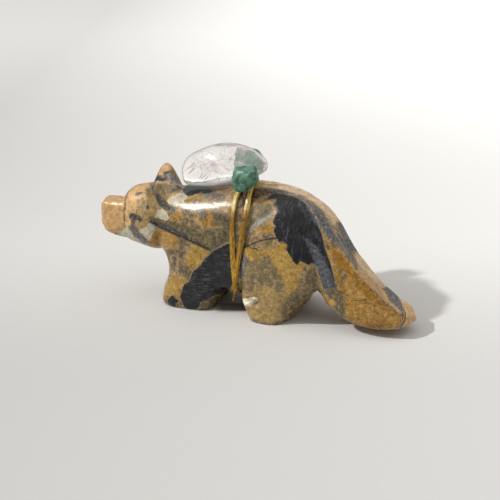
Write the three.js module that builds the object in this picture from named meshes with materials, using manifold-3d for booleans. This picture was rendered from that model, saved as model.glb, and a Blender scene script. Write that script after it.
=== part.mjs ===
// A carved stone animal with a bundle of tumbled stones tied to its back with sinew.
// Millimetres, +Z up. The head points along -X and z = 0 is the surface it stands on.
import * as THREE from "three";
import { LoftGeometry } from "three/addons/geometries/LoftGeometry.js";
import { ConvexGeometry } from "three/addons/geometries/ConvexGeometry.js";
import { mergeVertices } from "three/addons/utils/BufferGeometryUtils.js";
import Module from "manifold-3d";

const wasm = await Module();
wasm.setup();

// Sizes of the carving
const LENGTH = 89.5; // nose to tip of tail
const BREADTH = 28; // across the hind legs
const STATURE = 35; // floor to the top of the back
const FOOT_SLOT_WIDTH = 4.5; // between the left and the right feet
const FOOT_SLOT_HEIGHT = 5;
const HEAD_TURN = 0.12; // radians, towards the left side
const HEAD_SKEW = 0.17; // how far the left side of the head is set back
const TAIL_REACH = 1.2; // how far the swing of the tail carries its tip further back
const TAIL_SWING = 6.5; // how far the tip of the tail stands to the left of the middle
const TAIL_LIFT = 2.3; // how far the end of the tail is off the floor

// Sizes of the bundle
const PEBBLE_LENGTH = 24.6;
const PEBBLE_BREADTH = 12.5;
const PEBBLE_RISE = 7; // from its widest line to its top
const PEBBLE_DEPTH = 3.5; // from its widest line to its flatter underside
const PEBBLE_TAPER = 0.2; // share by which its underside thins towards the tail
const PEBBLE_TILT = 0.19; // radians, its end towards the tail is the higher one
const NEAR_NUGGET_LENGTH = 7.2;
const NEAR_NUGGET_BREADTH = 5.4;
const NEAR_NUGGET_HEIGHT = 7;
const FAR_NUGGET_LENGTH = 8;
const FAR_NUGGET_BREADTH = 5.4;
const FAR_NUGGET_HEIGHT = 8;
const SINEW_WIDTH = 1.4;
const SINEW_THICKNESS = 0.6;
const KNOT_SIZE = 1.8;
const LOOSE_END_LENGTH = 3.1;
const LOOSE_END_WIDTH = 0.7;
const CLEARANCE = 0.3; // between pieces that touch

// Every place on the carving is a share, in hundredths, of one of its three sizes:
// along from the nose, across from the middle to the widest point, and up from the floor.
const along = (share) => LENGTH * (share / 100 - 0.5);
const across = (share) => (BREADTH / 2) * (share / 100);
const up = (share) => STATURE * (share / 100);

// A smooth curve through stations: each is its place followed by the values there.
function smooth(stations) {
  const places = stations.map((station) => station[0]);
  const values = stations.flatMap((station) => station.slice(1));
  const curve = new THREE.CubicInterpolant(places, values, stations[0].length - 1);
  return (place) => Array.from(curve.evaluate(place));
}

// Places from first to last, in equal steps.
function steps(first, last, count) {
  return Array.from({ length: count + 1 }, (_, i) => first + ((last - first) * i) / count);
}

// The share of a half size reached at an angle on a squared ellipse.
const reach = (value, square) => Math.sign(value) * Math.abs(value) ** (2 / square);

// A body from rings of points, each ring counterclockwise as seen from the last one.
const loft = (rings) => new LoftGeometry(rings, { capStart: true, capEnd: true });

// Sections across the length, for the trunk, the head and the snout. Each station gives the top,
// the widest height, the underside, the half width, how square it is above and below the widest
// height, and the half width of the flat along its top.
function loftAlong(stations, sections, quarter, flat) {
  const shape = smooth(stations);
  const first = stations[0][0];
  const last = stations[stations.length - 1][0];
  const rings = steps(first, last, sections).map((place) => {
    const [top, widest, under, half, squareTop, squareUnder, ridge] = shape(place);
    const side = [];
    for (const angle of steps(0, Math.PI / 2, quarter)) {
      side.push([
        ridge + (half - ridge) * reach(Math.cos(angle), squareTop),
        widest + (top - widest) * reach(Math.sin(angle), squareTop),
      ]);
    }
    for (const share of steps(1, 0, flat).slice(1)) {
      side.push([ridge * share, top]);
    }
    const below = steps(-Math.PI / 2, 0, quarter).slice(0, -1).map((angle) => [
      half * reach(Math.cos(angle), squareUnder),
      widest + (widest - under) * reach(Math.sin(angle), squareUnder),
    ]);
    const right = [...below, ...side];
    const left = right.slice(1, -1).reverse().map(([y, z]) => [-y, z]);
    return [...right, ...left].map(([y, z]) => new THREE.Vector3(along(place), across(y), up(z)));
  });
  return loft(rings);
}

// Sections across the height, for legs and ears. Each station gives the front, the widest place,
// the back, the half width, how square it is ahead of and behind the widest place, and its middle.
function loftUp(stations, sections, quarter) {
  const shape = smooth(stations);
  const first = stations[0][0];
  const last = stations[stations.length - 1][0];
  const rings = steps(first, last, sections).map((place) => {
    const [front, widest, back, half, squareFront, squareBack, middle] = shape(place);
    return steps(0, 2 * Math.PI, 4 * quarter).slice(0, -1).map((angle) => {
      const ahead = Math.cos(angle) < 0;
      const square = ahead ? squareFront : squareBack;
      const length = ahead ? widest - front : back - widest;
      return new THREE.Vector3(
        along(widest + length * reach(Math.cos(angle), square)),
        across(middle + half * reach(Math.sin(angle), square)),
        up(place),
      );
    });
  });
  return loft(rings);
}

// A closed geometry as a solid that can be joined and cut.
function solid(geometry) {
  const points = new THREE.BufferGeometry();
  points.setAttribute("position", geometry.getAttribute("position").clone());
  points.setIndex(geometry.getIndex());
  const merged = mergeVertices(points, 1e-4);
  return new wasm.Manifold(new wasm.Mesh({
    numProp: 3,
    vertProperties: merged.attributes.position.array,
    triVerts: new Uint32Array(merged.index.array),
  }));
}

// A solid as a geometry for a mesh.
function geometryOf(made) {
  const mesh = made.getMesh();
  const geometry = new THREE.BufferGeometry();
  geometry.setAttribute("position", new THREE.BufferAttribute(mesh.vertProperties, 3));
  geometry.setIndex(new THREE.BufferAttribute(mesh.triVerts, 1));
  geometry.computeVertexNormals();
  return geometry;
}

// A block with its middle and sizes given, to cut with.
function block(middle, size) {
  return solid(new THREE.BoxGeometry(...size).translate(...middle));
}

// Neck, barrel, rump and tail in one run.
function makeTrunk() {
  return solid(loftAlong([
    [16.3, 84, 62, 44, 38, 2.3, 2.2, 10],
    [20.2, 87, 60, 40, 50, 2.4, 2.2, 12],
    [24.1, 87.5, 56, 32, 66, 2.5, 2.6, 14],
    [28.6, 88, 54, 24, 79, 2.6, 3, 15],
    [35.3, 90, 54, 18, 84, 2.7, 4, 15],
    [42, 93.2, 55, 16.5, 85, 2.7, 5, 15],
    [48, 96, 56, 16.5, 83, 2.6, 5, 16],
    [53.2, 96.3, 56, 19, 78, 2.4, 4, 20],
    [58.8, 94.4, 55, 23, 75, 2.2, 4, 24],
    [64.4, 91.2, 52, 25, 72, 1.9, 4, 27],
    [68.8, 85.3, 46, 26, 64, 1.6, 4, 29],
    [72.7, 77, 38, 22.5, 63, 1.4, 4, 31],
    [75.5, 68, 31, 13, 64, 1.25, 4, 32],
    [78.3, 55.8, 24, 6.5, 64, 1.1, 4, 32],
    [82.2, 42, 17, 1, 62, 1.05, 4, 32],
    [87.8, 26.3, 10, -2, 60, 1.1, 4, 32],
    [92.3, 17, 7, -2, 56, 1.2, 4, 32],
    [96.2, 10.5, 5, -0.5, 50, 1.4, 3, 30],
    [100, 5.6, 4.4, 3.4, 40, 1.6, 2.4, 26],
  ], 44, 6, 2));
}

function makeHead() {
  return loftAlong([
    [6.8, 75.5, 62, 47, 34, 3.4, 2.8, 14],
    [7.8, 80, 62, 45.5, 38, 3, 2.6, 13],
    [9.6, 84.3, 62, 43.5, 45, 2.8, 2.5, 12],
    [12.2, 86.8, 62, 41.5, 53, 2.6, 2.3, 12],
    [15, 88.2, 61, 39.5, 59, 2.5, 2.2, 12],
    [17.2, 88.6, 60, 38.5, 61, 2.5, 2.2, 12],
    [20, 88, 60, 39, 51, 2.4, 2.2, 12],
    [23, 87, 60, 42, 44, 2.4, 2.2, 12],
  ], 14, 6, 2);
}

function makeSnout() {
  return loftAlong([
    [0, 73, 62, 56.5, 22, 4.5, 3.5, 10],
    [0.9, 75.2, 62, 52, 28.5, 5, 4, 14],
    [3.5, 75.8, 62, 48, 30.5, 5, 4, 14],
    [7, 75.8, 62, 46, 33, 5, 4, 14],
    [10, 75, 62, 45.5, 34, 5, 4, 14],
  ], 9, 5, 2);
}

function makeForelegs() {
  return solid(loftUp([
    [-1, 22, 32, 37.4, 73, 3.2, 3.6, 0],
    [2.3, 21.4, 32, 38.8, 79, 3.4, 3.6, 0],
    [5.7, 21.6, 32, 39.8, 81, 3.5, 3.6, 0],
    [11.4, 22, 32.5, 41.2, 82.5, 3.5, 3.6, 0],
    [17, 22.7, 33, 42.6, 83.5, 3.5, 3.8, 0],
    [21.5, 23.6, 34, 45.4, 84.5, 3.5, 4, 0],
    [24.3, 23.8, 34, 46.8, 85, 3.4, 4, 0],
    [31.4, 23.9, 34, 47, 85.5, 3.2, 4, 0],
    [40, 22.8, 34, 47, 85.5, 3, 4, 0],
    [46, 21.4, 34, 46, 82, 2.8, 3.6, 0],
    [57, 23.5, 34, 43.5, 64, 2.6, 3.2, 0],
  ], 16, 6));
}

function makeHindquarters() {
  return solid(loftUp([
    [-1, 52, 58.5, 62.5, 97, 3, 2.6, 0],
    [2.3, 50.8, 59, 64.3, 100, 3.2, 2.6, 0],
    [5.7, 50, 59, 65.5, 100, 3.6, 2.6, 0],
    [11.4, 49.3, 59, 67, 100, 4.6, 2.5, 0],
    [17, 49.1, 59, 68.6, 100, 5.5, 2.4, 0],
    [22, 49.3, 59, 71, 100, 6, 2.4, 0],
    [26, 49.3, 59, 73.3, 100, 6, 2.4, 0],
    [34, 49.1, 59.5, 74.5, 100, 6, 2.4, 0],
    [45.7, 49.1, 59.5, 74, 98, 6, 2.4, 0],
    [57, 49.8, 59.5, 72.7, 94, 5, 2.4, 0],
    [68.6, 50.4, 59.5, 71, 88, 4, 2.3, 0],
    [80, 51, 59, 69, 78, 3.2, 2.2, 0],
    [88.6, 52.2, 58.6, 66, 64, 2.6, 2.2, 0],
    [92, 53.4, 57.6, 62, 48, 2.3, 2.2, 0],
  ], 22, 7));
}

// The ear that is whole, on the right side, leaning outwards.
function makeEar() {
  return solid(loftUp([
    [70, 12, 19, 26, 22, 2.2, 2.2, 34],
    [86, 14, 18.8, 23.4, 18, 2.2, 2.2, 35],
    [93, 15.1, 18.7, 21.8, 14, 2.2, 2.2, 36],
    [99, 16.4, 18.5, 20.4, 9, 2.2, 2.2, 37],
    [102, 17.4, 18.4, 19.4, 5, 2.2, 2.2, 37.5],
    [102.9, 18.1, 18.4, 18.7, 2, 2.2, 2.2, 38],
  ], 14, 4));
}

// The low stump of the ear that is broken off, on the left side.
function makeStump() {
  return solid(loftUp([
    [70, 15.5, 20.5, 28, 28, 2.2, 2.2, -17],
    [86, 16.2, 20.8, 27.4, 23, 2.2, 2.2, -15],
    [91, 17.6, 21, 25.8, 16, 2.2, 2.2, -13.5],
    [94, 19, 21, 23.2, 8, 2.2, 2.2, -12],
  ], 8, 5));
}

// The hollow that the broken ear left in the side of the head.
function makeScar() {
  const scar = new THREE.SphereGeometry(1, 24, 16);
  scar.scale(LENGTH * 0.06, across(48), up(20));
  return solid(scar.translate(along(21.6), across(-66), up(98.5)));
}

// A wedge chipped off the front edge of the left hind leg.
function makeChip() {
  const chip = new THREE.BoxGeometry(LENGTH * 0.085, across(22), up(4.8));
  chip.rotateX(0.5).rotateY(0.12);
  return solid(chip.translate(along(51.4), across(-101), up(15)));
}

// The end of the tail is pared to a point from one side.
function makePare(side) {
  const size = BREADTH;
  const turn = Math.atan2(across(47), LENGTH * 0.036);
  const pare = new THREE.BoxGeometry(2 * size, size, size);
  pare.translate(0, (side * size) / 2, 0).rotateZ(-side * turn);
  return solid(pare.translate(along(99.9), 0, 0));
}

function makeAnimal() {
  const turnHead = new THREE.Matrix4()
    .makeTranslation(along(22), 0, 0)
    .multiply(new THREE.Matrix4().makeRotationZ(HEAD_TURN))
    .multiply(new THREE.Matrix4().set(1, -HEAD_SKEW, 0, 0, 0, 1, 0, 0, 0, 0, 1, 0, 0, 0, 0, 1))
    .multiply(new THREE.Matrix4().makeTranslation(-along(22), 0, 0));
  const whole = makeTrunk()
    .add(solid(makeHead().applyMatrix4(turnHead)))
    .add(solid(makeSnout().applyMatrix4(turnHead)))
    .add(makeForelegs())
    .add(makeHindquarters())
    .add(makeEar())
    .add(makeStump());
  const depth = STATURE;
  const below = block([0, 0, -depth / 2], [2 * LENGTH, 2 * BREADTH, depth]);
  const slot = block(
    [along(42.5), 0, FOOT_SLOT_HEIGHT / 2],
    [along(70) - along(15), FOOT_SLOT_WIDTH, FOOT_SLOT_HEIGHT],
  );
  return whole.subtract(below).subtract(slot).subtract(makeScar()).subtract(makeChip())
    .subtract(makePare(1)).subtract(makePare(-1)).warp(swingTail);
}

// Carries a point of the tail aside and up, the further the nearer it is to the tip. The rise
// starts behind the hind feet, which stay flat on the floor.
function swingTail(point) {
  const aside = THREE.MathUtils.smoothstep(point[0], along(57.5), along(89));
  const rise = THREE.MathUtils.smoothstep(point[0], along(63), along(89));
  point[0] += aside * TAIL_REACH;
  point[1] -= aside * TAIL_SWING;
  point[2] += rise * TAIL_LIFT;
}

// The tumbled pebble of clear quartz, with the middle of its widest line at the origin. It is
// domed above, slimmer at its end towards the tail, and flatter below.
function pebbleShape(grown) {
  const pebble = new THREE.SphereGeometry(1, 24, 14).rotateX(Math.PI / 2);
  const position = pebble.getAttribute("position");
  const point = new THREE.Vector3();
  for (let i = 0; i < position.count; i += 1) {
    point.fromBufferAttribute(position, i);
    const square = point.z > 0 ? 2 - 0.25 * point.x : 3.4;
    const height = point.z > 0 ? PEBBLE_RISE : PEBBLE_DEPTH * (1 - PEBBLE_TAPER * point.x);
    const round = Math.hypot(point.x, point.y);
    const spread = round > 0 ? reach(round, square) / round : 0;
    position.setXYZ(
      i,
      point.x * spread * (PEBBLE_LENGTH / 2 + grown),
      point.y * spread * (PEBBLE_BREADTH / 2 + grown),
      reach(point.z, square) * (height + grown),
    );
  }
  return pebble.rotateY(-PEBBLE_TILT);
}

// A tumbled nugget: the taut skin over balls at its corners, which are shares of its half sizes.
function nuggetShape(length, breadth, height, corners, grown) {
  const ball = Math.min(length, breadth, height) * 0.26;
  const skin = new THREE.IcosahedronGeometry(ball + grown, 1).getAttribute("position");
  const points = [];
  for (const [x, y, z] of corners) {
    const corner = new THREE.Vector3(
      x * (length / 2 - ball),
      y * (breadth / 2 - ball),
      z * (height / 2 - ball),
    );
    for (let i = 0; i < skin.count; i += 1) {
      points.push(new THREE.Vector3().fromBufferAttribute(skin, i).add(corner));
    }
  }
  return new ConvexGeometry(points);
}

const nearNuggetShape = (grown) => nuggetShape(
  NEAR_NUGGET_LENGTH,
  NEAR_NUGGET_BREADTH,
  NEAR_NUGGET_HEIGHT,
  [[-0.9, 0.7, 0.8], [-0.95, -0.7, 0.5], [0.7, 0.7, 1], [0.85, -0.7, 0.7], [1, 0.3, 0], [0.7, -1, -0.4],
    [-0.6, -0.7, -1], [-0.7, 0.5, -1], [-1, -0.5, -0.6], [0.5, 0.8, -0.7]],
  grown,
);

const farNuggetShape = (grown) => nuggetShape(
  FAR_NUGGET_LENGTH,
  FAR_NUGGET_BREADTH,
  FAR_NUGGET_HEIGHT,
  [[-0.9, -0.6, 0.6], [-0.5, 0.7, 0.9], [0.6, -0.5, 1], [1, 0.5, 0.5], [0.9, -0.7, -0.4], [0.4, 0.9, -0.8],
    [-0.6, 0.8, -0.9], [-1, -0.4, -0.5], [0, -0.8, -1]],
  grown,
);

// How far a shape can move in a direction before it meets one of the meshes.
function wayTo(shape, direction, meshes) {
  const mover = new THREE.Mesh(shape, new THREE.MeshBasicMaterial({ side: THREE.DoubleSide }));
  mover.updateMatrixWorld(true);
  const forward = new THREE.Raycaster();
  const point = new THREE.Vector3();
  const back = direction.clone().negate();
  let way = Infinity;
  const castFrom = (position, towards, targets) => {
    for (let i = 0; i < position.count; i += 1) {
      point.fromBufferAttribute(position, i);
      forward.set(point, towards);
      const [hit] = forward.intersectObjects(targets, false);
      if (hit && hit.distance < way) {
        way = hit.distance;
      }
    }
  };
  castFrom(shape.getAttribute("position"), direction, meshes);
  for (const mesh of meshes) {
    castFrom(mesh.geometry.getAttribute("position"), back, [mover]);
  }
  return way;
}

// Moves a shape up to the meshes it rests against. The grown copy keeps the clearance all round.
function restAgainst(shape, grown, direction, meshes) {
  const way = wayTo(grown, direction, meshes);
  shape.translate(direction.x * way, direction.y * way, direction.z * way);
  grown.translate(direction.x * way, direction.y * way, direction.z * way);
}

// The pebble comes down onto the back and the sinew.
function makePebble(meshes) {
  const shape = pebbleShape(0);
  const grown = pebbleShape(CLEARANCE);
  for (const each of [shape, grown]) {
    each.translate(along(39.7), 0, 2 * STATURE);
  }
  restAgainst(shape, grown, new THREE.Vector3(0, 0, -1), meshes);
  return shape;
}

// A nugget slides in from one side against the pebble, its middle at the place and height given.
function makeNugget(shapeOf, place, height, side, meshes) {
  const shape = shapeOf(0);
  const grown = shapeOf(CLEARANCE);
  for (const each of [shape, grown]) {
    each.translate(along(place), side * 2 * BREADTH, up(height));
  }
  restAgainst(shape, grown, new THREE.Vector3(0, -side, 0), meshes);
  return shape;
}

// Where a plane cuts a geometry, as places across the plane and up it.
function cutPoints(geometry, plane, sideways, upward) {
  const position = geometry.getAttribute("position");
  const index = geometry.getIndex();
  const corner = [0, 1, 2].map(() => new THREE.Vector3());
  const found = [];
  for (let i = 0; i < index.count; i += 3) {
    corner.forEach((point, k) => point.fromBufferAttribute(position, index.getX(i + k)));
    for (let k = 0; k < 3; k += 1) {
      const start = plane.distanceToPoint(corner[k]);
      const end = plane.distanceToPoint(corner[(k + 1) % 3]);
      if (start * end < 0) {
        const point = corner[k].clone().lerp(corner[(k + 1) % 3], start / (start - end));
        found.push([point.dot(sideways), point.dot(upward)]);
      }
    }
  }
  return found;
}

// One turn of sinew drawn tight round the body, in the plane through three points: where it is
// knotted, the shoulder it passes over above the knot, and the far side of the back. It can be
// lifted to lie over another turn.
function tightTurn(body, knot, shoulder, farBack, lifted) {
  const sideways = farBack.clone().sub(shoulder).normalize();
  const normal = sideways.clone().cross(shoulder.clone().sub(knot)).normalize();
  const upward = normal.clone().cross(sideways);
  const points = [-1, 0, 1].flatMap((side) => {
    const aside = knot.clone().addScaledVector(normal, side * (SINEW_WIDTH / 2 + CLEARANCE));
    const plane = new THREE.Plane().setFromNormalAndCoplanarPoint(normal, aside);
    return cutPoints(body, plane, sideways, upward);
  });
  const base = knot.clone().projectOnVector(normal);
  const lift = CLEARANCE + SINEW_THICKNESS / 2 + lifted;
  // The middle of the strand where its surface faces the angle, and the way it faces there.
  return (angle) => {
    const [c, d] = [Math.cos(angle), Math.sin(angle)];
    const reached = ([sidePlace, upPlace]) => sidePlace * c + upPlace * d;
    const outermost = points.reduce((best, point) => (reached(point) > reached(best) ? point : best));
    const outward = sideways.clone().multiplyScalar(c).addScaledVector(upward, d);
    const middle = base.clone()
      .addScaledVector(sideways, outermost[0])
      .addScaledVector(upward, outermost[1])
      .addScaledVector(outward, lift);
    return { middle, outward, normal };
  };
}

// The ribbon of one turn, closed on itself.
function makeTurn(turn) {
  const rings = steps(0, 2 * Math.PI, 40).map((angle) => {
    const { middle, outward, normal } = turn(angle);
    return steps(0, 2 * Math.PI, 8).slice(0, -1).map((spin) => middle.clone()
      .addScaledVector(normal, (SINEW_WIDTH / 2) * Math.cos(spin))
      .addScaledVector(outward, (SINEW_THICKNESS / 2) * Math.sin(spin)));
  });
  return solid(new LoftGeometry(rings));
}

function makeKnot(middle) {
  const knot = new THREE.SphereGeometry(KNOT_SIZE / 2, 10, 8);
  knot.scale(0.9, 0.9, 1);
  return solid(knot.translate(middle.x, middle.y, middle.z));
}

// The short end that hangs from the knot.
function makeLooseEnd(middle) {
  const round = LOOSE_END_WIDTH / 2;
  const outline = new THREE.Shape().absellipse(0, 0, round, round, 0, 2 * Math.PI);
  const path = new THREE.QuadraticBezierCurve3(
    middle.clone(),
    middle.clone().add(new THREE.Vector3(-0.05, -0.12, -0.6).multiplyScalar(LOOSE_END_LENGTH)),
    middle.clone().add(new THREE.Vector3(-0.34, 0.02, -1).multiplyScalar(LOOSE_END_LENGTH)),
  );
  return solid(new THREE.ExtrudeGeometry(outline, { steps: 4, curveSegments: 3, extrudePath: path }));
}

// Two turns, each given by how far along it passes the knot, the shoulder and the far side. The
// second one lies over the first.
function makeSinew(body) {
  const [first, second] = [[47.8, 46.9, 46.6], [47.3, 51.2, 49]].map(([low, high, beyond], order) => (
    tightTurn(
      body,
      new THREE.Vector3(along(low), across(-84), up(19.7)),
      new THREE.Vector3(along(high), across(-75), up(91.5)),
      new THREE.Vector3(along(beyond), across(43), up(97)),
      (order * SINEW_THICKNESS) / 2,
    )
  ));
  const { middle, outward } = first(1.2 * Math.PI);
  middle.addScaledVector(outward, (KNOT_SIZE - SINEW_THICKNESS) / 2);
  return makeTurn(first).add(makeTurn(second)).add(makeKnot(middle)).add(makeLooseEnd(middle));
}

function named(geometry, name, settings) {
  const mesh = new THREE.Mesh(geometry, new THREE.MeshStandardMaterial({ metalness: 0, ...settings }));
  mesh.name = name;
  geometry.computeBoundingBox();
  return mesh;
}

const animal = named(geometryOf(makeAnimal()), "carved_animal", { color: 0xa8834a, roughness: 0.25 });
const tie = named(geometryOf(makeSinew(animal.geometry)), "sinew_tie", { color: 0xb98a2c, roughness: 0.5 });
const pebble = named(
  makePebble([animal, tie]),
  "quartz_pebble",
  { color: 0xe6eaec, roughness: 0.05, transparent: true, opacity: 0.35 },
);
const nearNugget = named(
  makeNugget(nearNuggetShape, 50, 105.8, -1, [pebble, animal, tie]),
  "near_green_nugget",
  { color: 0x2f7a5e, roughness: 0.45 },
);
const farNugget = named(
  makeNugget(farNuggetShape, 44.2, 106.3, 1, [pebble, animal, tie]),
  "far_green_nugget",
  { color: 0x3d8468, roughness: 0.45 },
);

const group = new THREE.Group();
group.add(animal, tie, pebble, nearNugget, farNugget);
const middle = new THREE.Box3().setFromObject(group).getCenter(new THREE.Vector3());
group.position.set(-middle.x, -middle.y, 0);
export default group;
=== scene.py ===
"""A carved stone animal with a clear pebble and two green nuggets bound on its back by sinew."""
import math

import bpy
import numpy as np
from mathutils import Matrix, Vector, noise
from mathutils.bvhtree import BVHTree


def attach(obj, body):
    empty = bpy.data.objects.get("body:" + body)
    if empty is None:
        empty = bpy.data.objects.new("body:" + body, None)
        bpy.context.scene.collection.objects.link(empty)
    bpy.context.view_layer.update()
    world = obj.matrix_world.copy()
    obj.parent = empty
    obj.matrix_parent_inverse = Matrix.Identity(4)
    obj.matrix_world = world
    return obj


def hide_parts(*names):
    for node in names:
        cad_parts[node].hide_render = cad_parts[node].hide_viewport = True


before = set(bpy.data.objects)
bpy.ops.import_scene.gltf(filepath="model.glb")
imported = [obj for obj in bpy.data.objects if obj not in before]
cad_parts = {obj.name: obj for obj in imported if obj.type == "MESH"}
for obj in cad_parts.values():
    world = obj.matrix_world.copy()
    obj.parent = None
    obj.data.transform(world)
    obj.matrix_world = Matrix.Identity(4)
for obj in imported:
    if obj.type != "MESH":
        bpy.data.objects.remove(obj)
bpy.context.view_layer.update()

bl_info = {
    "name": "Carved stone animal",
    "version": (1, 0, 0),
    "blender": (4, 5, 0),
    "location": "View3D > Sidebar > Stone Animal",
    "description": "Dresses the carved stone animal, its pebble, its nuggets and its sinew",
    "category": "Object",
}

MM = 0.001
# The stone's grain slants through the carving: how far outline coordinates shift, across and up, with a place's y
GRAIN = np.array((0.364, 0.387))
# How deep in the stone the grain begins to bend, and its bend across and up for each millimetre further
BEND_DEPTH, BEND = 6.0, (0.65, -0.325)
# How far off the stone, in metres, the search for its near side starts
RAY_START = 0.2
# How far outside an outline its depth is still reckoned, in millimetres
OUTSIDE = 3.0

# Fineness of the pebble and the green stones
PEBBLE_VOXEL, NUGGET_VOXEL = 0.25 * MM, 0.12 * MM
# Thickness of what shows inside the pebble, in millimetres
VEIL_THICKNESS, NEEDLE_THICKNESS, FLECK_THICKNESS = 0.04, 0.11, 0.1
# Round a turn of sinew: the ways in which it is drawn tight, its rings, and the corners of each ring
TURN_WAYS, TURN_RINGS, STRAND_SIDES = 1440, 300, 26
# Points along the knot, its loose end and a frayed fibre
KNOT_POINTS, END_POINTS, FRAY_POINTS = 80, 24, 14

# The floor's size in metres
FLOOR_SIZE = 40.0
# Where the key light stands and how soft it is, the way to the panel, its distance and its size, in metres
LAMP_PLACE, LAMP_SOFTNESS = (-0.1984, -0.1550, 0.2431), 0.009
PANEL_WAY, PANEL_DISTANCE, PANEL_SIZE = (-0.55, -0.36, 0.76), 0.36, (0.16, 0.065)
# How far the camera stands aside and above, what it looks at, and how far off it is
CAMERA_SLANT = math.radians(20)
CAMERA_TARGET, CAMERA_DISTANCE = (0.668 * MM, 0.447 * MM, 0), 323 * MM

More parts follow.
